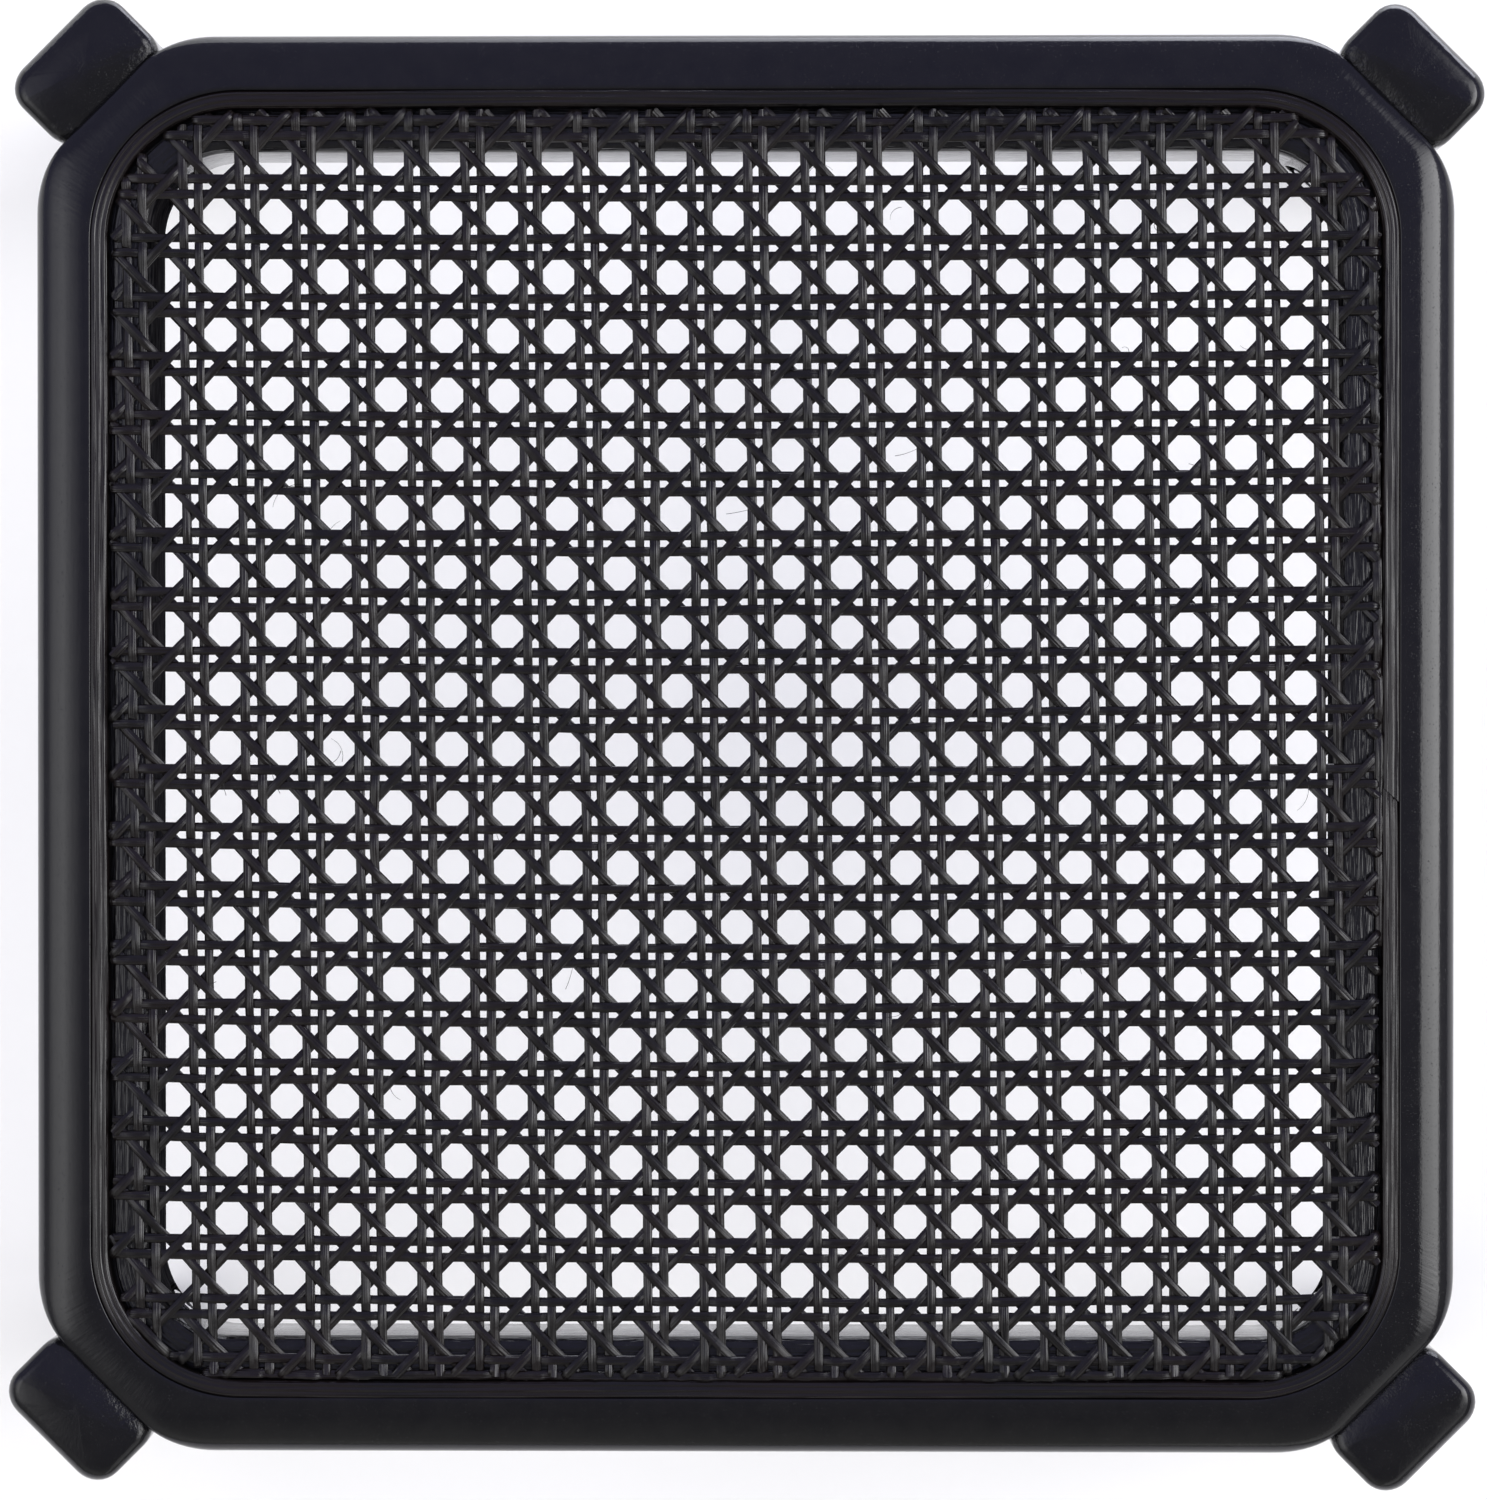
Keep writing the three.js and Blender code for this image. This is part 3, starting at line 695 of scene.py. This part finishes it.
def ribbon(plan, level, rng, number):
    """A strand: flat underneath, rounded on top, turned down into the groove."""
    out = outside_web(plan)
    inside = np.flatnonzero(out < 0)
    if len(inside) < 6:
        return None
    keep = slice(inside[0], inside[-1] + 1)
    plan, level, out = plan[keep], level[keep], out[keep]
    bend = np.clip((out + DIVE) / DIVE, 0, 1)
    level = level * (1 - bend) - DIVE * (1 - np.sqrt(1 - bend ** 2))
    crushed = np.clip((out + CRUMPLED) / CRUMPLED, 0, 1) * (1 - bend)
    level += np.clip(rng.normal(0, CRUMPLE, len(level)), -2 * CRUMPLE, CRUMPLE) * crushed
    path = np.c_[plan, WEB_LEVEL + level]
    drop = np.linspace(0, 1, FOOT_STEPS + 1)[1:, None]
    ends = []
    for tip in (path[0], path[-1]):
        foot = np.array([tip[0], tip[1], WEB_FOOT])
        ends.append(tip + (foot - tip) * drop)
    path = np.concatenate([ends[0][::-1], path, ends[1]])
    heading = unit(plan[-1] - plan[0])
    side = np.array([-heading[1], heading[0], 0])
    ahead = unit(np.gradient(path, axis=0))
    up = np.cross(ahead, side)
    up *= np.sign(up[len(up) // 2, 2])
    half = STRAND_WIDE / 2 * (1 + wander(rng, len(path), WIDTH_DRIFT))
    roll = wander(rng, len(path), ROLL_DRIFT)
    roll[FOOT_STEPS:-FOOT_STEPS] += rng.normal(0, CRUMPLE_ROLL, len(plan)) * crushed
    across = np.array(STRAND_ACROSS)
    height = np.array(STRAND_HEIGHT) * STRAND_THICK
    tilted = side + up * roll[:, None]
    rings = (path[:, None] + tilted[:, None] * (half[:, None] * across)[..., None]
             + up[:, None] * height[None, :, None])
    rings[..., 2] = np.minimum(rings[..., 2], WEB_HIGH.z)
    verts, faces = skin(rings)
    along = lengths(path)
    fibre = np.stack(np.meshgrid(along, across, indexing="ij"), -1).reshape(-1, 2)
    return verts, faces, np.c_[fibre, np.full(len(fibre), float(number))]


def pair_strand(axis, line, hand, rng, number):
    """One strand of a pair. axis 0 runs along X, 1 along Y; hand is its side, -1 or 1."""
    pitch, cross_pitch = (CELL_Y, CELL_X) if axis == 0 else (CELL_X, CELL_Y)
    count = int(2 * CELL_RANGE * cross_pitch / PAIR_STEP)
    run = np.linspace(-CELL_RANGE, CELL_RANGE, count)
    offset = np.full(count, line + 0.5 + hand * PAIR / 2 / pitch)
    offset += wander(rng, count, PAIR_DRIFT) / pitch
    cells = np.stack([run, offset] if axis == 0 else [offset, run], -1)
    over = hand * CROSS_LIFT * (1 if axis == 0 else -1)
    marks, values = [], []
    for k in range(-CELL_RANGE, CELL_RANGE):
        marks += [k, k + 0.5 - PAIR / 2 / cross_pitch, k + 0.5 + PAIR / 2 / cross_pitch]
        values += [0.0, -over, over]
    level = eased(run, np.array(marks), np.array(values))
    plan = cell_to_plan(cells)
    return ribbon(plan, level, rng, number)


def slant_strand(rising, line, rng, number):
    """One slanting strand: over one kind of pair and under the other, turn about."""
    count = int(2 * CELL_RANGE * math.hypot(CELL_X, CELL_Y) / SLANT_STEP)
    run = np.linspace(-CELL_RANGE, CELL_RANGE, count)
    other = run - line - 0.5 if rising else line + 0.5 - run
    drift = wander(rng, count, SLANT_DRIFT) / CELL_X
    cells = np.stack([run + drift, other], -1)
    lift = -SLANT_LIFT if rising else SLANT_LIFT
    marks, values = [], []
    half_x, half_y = PAIR / 2 / CELL_X, PAIR / 2 / CELL_Y
    for k in range(-CELL_RANGE, CELL_RANGE):
        marks += [k - half_y, k + half_y, k + 0.5 - half_x, k + 0.5 + half_x]
        values += [-lift, -lift, lift, lift]
    level = eased(run, np.array(marks), np.array(values))
    return ribbon(cell_to_plan(cells), level, rng, number)


def make_cane():
    rng = np.random.default_rng(7)
    pairs = {0: [], 1: []}
    number = 0
    for axis in pairs:
        for line in range(-CELL_RANGE, CELL_RANGE):
            for hand in (-1, 1):
                number += 1
                pairs[axis].append(pair_strand(axis, line, hand, rng, number))
    slants = []
    for rising in (False, True):
        for line in range(-2 * CELL_RANGE, 2 * CELL_RANGE):
            number += 1
            slants.append(slant_strand(rising, line, rng, number))
    named = {
        "cane_uprights": pairs[1],
        "cane_crossways": pairs[0],
        "cane_slanting": slants,
    }
    return {
        name: mesh_piece(name, [strand for strand in strands if strand is not None], 80)
        for name, strands in named.items()
    }


def place_cane():
    cane = make_cane()
    cane["cane_hairs"] = make_hairs()
    for piece in cane.values():
        settle(piece, CANE, "woven_cane")
    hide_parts("cane_webbing")


def make_hairs():
    """Stray fibres that stand off the strands here and there."""
    rng = np.random.default_rng(23)
    hairs = []
    for number in range(HAIRS):
        count = 10
        start = rng.uniform(-OPENING_HALF, OPENING_HALF, 2)
        heading = rng.uniform(0, 2 * math.pi) + np.linspace(0, rng.normal(0, 1.6), count)
        step = rng.uniform(3 * MM, 13 * MM) / count
        plan = start + np.cumsum(np.stack([np.cos(heading), np.sin(heading)], -1) * step, 0)
        level = WEB_LEVEL + np.linspace(0.3 * MM, rng.uniform(0.5, 0.9) * MM, count)
        path = np.c_[plan, level]
        side = np.stack([-np.sin(heading), np.cos(heading), 0 * heading], -1)
        turns = np.arange(5) * 2 * math.pi / 5
        thin = HAIR_RADIUS * np.linspace(1, 0.5, count)[:, None, None]
        rings = path[:, None] + thin * (side[:, None] * np.cos(turns)[None, :, None]
                                        + np.array([0, 0, 1]) * np.sin(turns)[None, :, None])
        verts, faces = skin(rings)
        hairs.append((verts, faces, np.c_[verts[:, :2], np.full(len(verts), float(number))]))
    return mesh_piece("cane_hairs", hairs, 80)


# ---- Legs ---------------------------------------------------------------------------

LEG_WIDE = 40 * MM
FOOT_WIDE = 28 * MM
LEG_OUTSIDE = 276 * MM  # along the diagonal, level with the seat
LEG_INSIDE = 232 * MM  # level with the shelf
FOOT_OUTSIDE = 320 * MM
FOOT_INSIDE = FOOT_OUTSIDE - FOOT_WIDE
FOOT_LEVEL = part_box("leg_back_right")[0].z
HEAD_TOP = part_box("leg_back_right")[1].z
SHELF = UNDERSIDE - GAP
NOTCH_FACE = CHAMFER + 0.05 * MM
HEAD_INSIDE = 250 * MM  # where the rounded head would end if it weren't notched
EDGE_ROUND = 3.5 * MM  # roundover round the head
CROWN_LONG = 2.1 * MM  # the head falls this much from its middle towards either end
CROWN_WIDE = 1.2 * MM  # and towards either side
CORNER_ROUND = 8 * MM


def outside_at(level):
    return FOOT_OUTSIDE + (LEG_OUTSIDE - FOOT_OUTSIDE) * level / TOP


def inside_at(level):
    return FOOT_INSIDE + (LEG_INSIDE - FOOT_INSIDE) * level / SHELF


def width_at(level):
    return FOOT_WIDE + (LEG_WIDE - FOOT_WIDE) * level / TOP


def rounded_box(long, wide, radius):
    """A rounded rectangle's outline about its centre."""
    middle = np.array([long / 2 - radius, wide / 2 - radius])
    points = []
    for quarter in range(QUARTERS):
        turns = (quarter + np.linspace(0, 1, 9)) * math.pi / 2
        hand = np.sign([math.cos(turns[4]), math.sin(turns[4])])
        points.append(hand * middle + radius * np.stack([np.cos(turns), np.sin(turns)], -1))
    return np.concatenate(points)


def leg_outline(level, inside=None, inset=0.0):
    """The leg's outline at a level, drawn in by inset."""
    near = inside_at(level) if inside is None else inside
    far = outside_at(level)
    radius = CORNER_ROUND * width_at(level) / LEG_WIDE
    outline = rounded_box(far - near - 2 * inset, width_at(level) - 2 * inset, radius - inset)
    return outline + [(near + far) / 2, 0]


def crowned(ring):
    """A ring of the head, bent down from the middle of what shows to its ends and sides."""
    far = outside_at(HEAD_TOP)
    along = (ring[:, 0] - (NOTCH_FACE + far) / 2) / ((far - NOTCH_FACE) / 2)
    across = ring[:, 1] / (LEG_WIDE / 2)
    fall = CROWN_LONG * along ** 2 + CROWN_WIDE * across ** 2
    return ring - np.stack([0 * fall, 0 * fall, fall], -1)


def leg_rings():
    """The leg on the +X diagonal as rings, from its foot to its crown, not notched yet."""
    rings = []

    def ring(level, inside=None, inset=0.0):
        plan = leg_outline(level, inside, inset)
        rings.append(np.c_[plan, np.full(len(plan), level)])

    for a in arc(4):
        ring(FOOT_LEVEL + UNDER_ROUND * (1 - math.cos(a)),
             inset=UNDER_ROUND * (1 - math.sin(a)))
    for level in np.linspace(FOOT_LEVEL + 30 * MM, SHELF + 1 * MM, 10):
        ring(level)
    ring(SHELF + 2 * MM, inside=HEAD_INSIDE)
    first = len(rings)
    for a in arc(12):
        ring(HEAD_TOP - EDGE_ROUND * (1 - math.sin(a)), HEAD_INSIDE,
             EDGE_ROUND * (1 - math.cos(a)))
    edge = rings[-1]
    for share in np.linspace(0.9, 0.1, 9):
        rings.append(edge.mean(0) + (edge - edge.mean(0)) * [share, share, 1])
    head = [crowned(outline) for outline in rings[first:]]
    return np.stack(rings[:first] + head)


def notch_cutter(turn):
    """The block that makes the notch the frame's corner stands in."""
    work = bmesh.new()
    low = (LEG_INSIDE - OVERCUT, -LEG_WIDE, SHELF)
    high = (NOTCH_FACE, LEG_WIDE, TOP + OVERCUT)
    bmesh.ops.create_cube(work, size=1)
    for vert in work.verts:
        vert.co = [high[k] if vert.co[k] > 0 else low[k] for k in range(3)]
    bmesh.ops.transform(work, matrix=turn, verts=work.verts)
    mesh = bpy.data.meshes.new("notch_cutter")
    work.to_mesh(mesh)
    work.free()
    cutter = bpy.data.objects.new("notch_cutter", mesh)
    bpy.context.scene.collection.objects.link(cutter)
    return cutter


def leg_slide(corner, turn):
    """How far the CAD leg stands to one side of its corner's diagonal."""
    low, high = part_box(f"glide_{corner}")
    return (turn.inverted() @ ((low + high) / 2)).y


def make_legs():
    rings = leg_rings()
    along = rings[:, 0, 2]
    around = lengths(rings[8])
    grid = np.stack(np.meshgrid(along, around, indexing="ij"), -1).reshape(-1, 2)
    for quarter, corner in enumerate(CORNERS):
        turn = Matrix.Rotation((quarter + 0.5) * math.pi / 2, 3, "Z")
        placed = rings + [0, leg_slide(corner, turn), 0]
        verts, faces = skin(placed @ np.array(turn).T)
        fibre = np.c_[grid + [quarter, 0], np.zeros(len(grid))]
        leg = mesh_piece(f"stool_leg_{corner}", [(verts, faces, fibre)], 50)
        cutter = notch_cutter(turn.to_4x4())
        cut = leg.modifiers.new("notch", "BOOLEAN")
        cut.operation, cut.object, cut.solver = "DIFFERENCE", cutter, "EXACT"
        bake_modifiers(leg)
        finish_mesh(leg.data, 50)
        bpy.data.objects.remove(cutter)
        settle(leg, LACQUER, "lacquered_wood", f"leg_{corner}")


# ---- Studio -------------------------------------------------------------------------

LIGHT_PEAK = 6.0  # what full white in the room's ramps stands for
CARD_WIDE, CARD_HIGH = 2.4, 0.38
CARD_AT = (0, 1.0, CARD_HIGH / 2 + 0.002)
FILL_SIZE = 3.0
FILL_HEIGHT = 3.0
FILL_RADIANCE = 2.75


def make_floor():
    mesh = bpy.data.meshes.new("studio_floor")
    work = bmesh.new()
    bmesh.ops.create_grid(work, x_segments=8, y_segments=8, size=6.0)
    work.to_mesh(mesh)
    work.free()
    floor = bpy.data.objects.new("studio_floor", mesh)
    bpy.context.scene.collection.objects.link(floor)
    n = Finish("pale_floor")
    cloud = n.noise(n.place(), 1.5, 2)
    n.set(Base_Color=n.blend(cloud, (0.86, 0.86, 0.87), (0.88, 0.88, 0.88)), Roughness=0.9)
    mesh.materials.append(n.material)


def tinted(red, green, blue):
    return (red / LIGHT_PEAK, green / LIGHT_PEAK, blue / LIGHT_PEAK)


def grey(level):
    return tinted(level, level, level)


def make_world():
    """A pale room with a bright softbox to the right and a dim, soft one to the left."""
    world = bpy.data.worlds.new("studio")
    bpy.context.scene.world = world
    world.use_nodes = True
    n = Nodes(world.node_tree)
    heading = n.add("ShaderNodeTexCoord").outputs["Generated"]
    x, y, z = (n.axis(heading, k) for k in range(3))
    rise = n.math("DIVIDE", n.math("ARCTAN2", z, x), math.pi)
    boxes = n.ramp(rise, [
        (0.00, grey(0.15)),
        (0.130, grey(0.3)),
        (0.142, grey(6.0)),
        (0.19, grey(5.8)),
        (0.318, grey(3.1)),
        (0.332, grey(0)),
        (0.585, grey(0)),
        (0.655, grey(0.6)),
        (0.735, grey(1.65)),
        (0.84, grey(1.2)),
        (0.93, grey(0.2)),
        (1.00, grey(0.1)),
    ])
    skewed = n.math("MULTIPLY_ADD", x, -0.15, y)
    front = n.spread(skewed, -0.45, -0.1, 0.1, 1)
    back = n.spread(skewed, 0.12, 0.5, 1, 0)
    boxes = n.blend(n.math("MULTIPLY", front, back), (0, 0, 0), boxes)
    room = n.ramp(n.math("MULTIPLY_ADD", y, 0.5, 0.5), [
        (0.0, tinted(0.36, 0.36, 0.34)),
        (0.25, tinted(0.18, 0.18, 0.19)),
        (0.44, tinted(0.20, 0.20, 0.23)),
        (0.5, tinted(0.23, 0.23, 0.30)),
        (0.56, tinted(0.25, 0.25, 0.43)),
        (1.0, tinted(0.27, 0.27, 0.44)),
    ])
    light = n.add("ShaderNodeMix", data_type="RGBA", blend_type="ADD")
    light.inputs["Factor"].default_value = 1.0
    n.link(boxes, light.inputs["A"])
    n.link(room, light.inputs["B"])
    lit = n.add("ShaderNodeBackground")
    n.link(light.outputs["Result"], lit.inputs["Color"])
    lit.inputs["Strength"].default_value = LIGHT_PEAK
    pale = n.add("ShaderNodeBackground")
    pale.inputs["Color"].default_value = (0.93, 0.93, 0.94, 1)
    seen = n.add("ShaderNodeMixShader")
    n.link(n.add("ShaderNodeLightPath").outputs["Is Camera Ray"], seen.inputs[0])
    n.link(lit.outputs[0], seen.inputs[1])
    n.link(pale.outputs[0], seen.inputs[2])
    out = n.add("ShaderNodeOutputWorld")
    n.link(seen.outputs[0], out.inputs["Surface"])


def make_card():
    """A glowing card behind the stool, below its seat, brighter to the right."""
    mesh = bpy.data.meshes.new("back_card")
    work = bmesh.new()
    bmesh.ops.create_grid(work, x_segments=4, y_segments=2, size=0.5)
    size = Matrix.Diagonal((CARD_WIDE, CARD_HIGH, 1, 1))
    stand = Matrix.Translation(CARD_AT) @ Matrix.Rotation(math.pi / 2, 4, "X") @ size
    bmesh.ops.transform(work, matrix=stand, verts=work.verts)
    work.to_mesh(mesh)
    work.free()
    card = bpy.data.objects.new("back_card", mesh)
    card.visible_camera = False
    bpy.context.scene.collection.objects.link(card)
    n = Finish("card_glow")
    glow = n.spread(n.axis(n.place(), 0), -0.3, 0.3, 0.9, 5.2)
    n.set(Base_Color=(0.8, 0.8, 0.8), Emission_Color=(0.86, 0.88, 1.0), Emission_Strength=glow)
    mesh.materials.append(n.material)


def make_fill():
    """A wide overhead light for the floor; it makes no highlights."""
    light = bpy.data.lights.new("fill", "AREA")
    light.shape = "RECTANGLE"
    light.size = light.size_y = FILL_SIZE
    light.energy = FILL_RADIANCE * math.pi * FILL_SIZE ** 2
    light.color = (1.0, 0.98, 0.90)
    lamp = bpy.data.objects.new("fill", light)
    lamp.location = (0, 0, FILL_HEIGHT)
    lamp.visible_camera = False
    lamp.visible_glossy = False
    bpy.context.scene.collection.objects.link(lamp)


CAMERA_HEIGHT = 1.5  # above the seat
CAMERA_OFF = (24 * MM, 12.6 * MM)
AIM = (-0.1 * MM, -1.5 * MM)
VIEW_HIGH = 417 * MM  # of the seat's plane, from the picture's top to its bottom
SENSOR = 36.0


def make_camera():
    data = bpy.data.cameras.new("camera")
    camera = bpy.data.objects.new("camera", data)
    camera.location = (*CAMERA_OFF, TOP + CAMERA_HEIGHT)
    back = (camera.location - Vector((*AIM, TOP))).normalized()
    right = Vector((0, 1, 0)).cross(back).normalized()
    camera.rotation_euler = Matrix((right, back.cross(right), back)).transposed().to_euler()
    data.sensor_width = SENSOR
    data.lens = SENSOR * CAMERA_HEIGHT / VIEW_HIGH
    bpy.context.scene.collection.objects.link(camera)
    bpy.context.scene.camera = camera


def finish_cad_nodes():
    """Finishes for the CAD pieces that stay as they are."""
    finishes = {
        "mitre_tongue": BEECH,
        "dowel": BEECH,
        "corner_bolt": STEEL,
        "bolt_washer": STEEL,
        "glide_nail": STEEL,
        "threaded_insert": ZINC,
        "glide": NYLON,
    }
    for name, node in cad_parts.items():
        for start, material in finishes.items():
            if name.startswith(start):
                node.data.materials.clear()
                node.data.materials.append(material)
                break


bpy.context.scene.view_settings.view_transform = "Standard"
make_camera()
make_world()
make_floor()
make_card()
make_fill()
make_rails()
make_reed()
place_cane()
make_legs()
finish_cad_nodes()
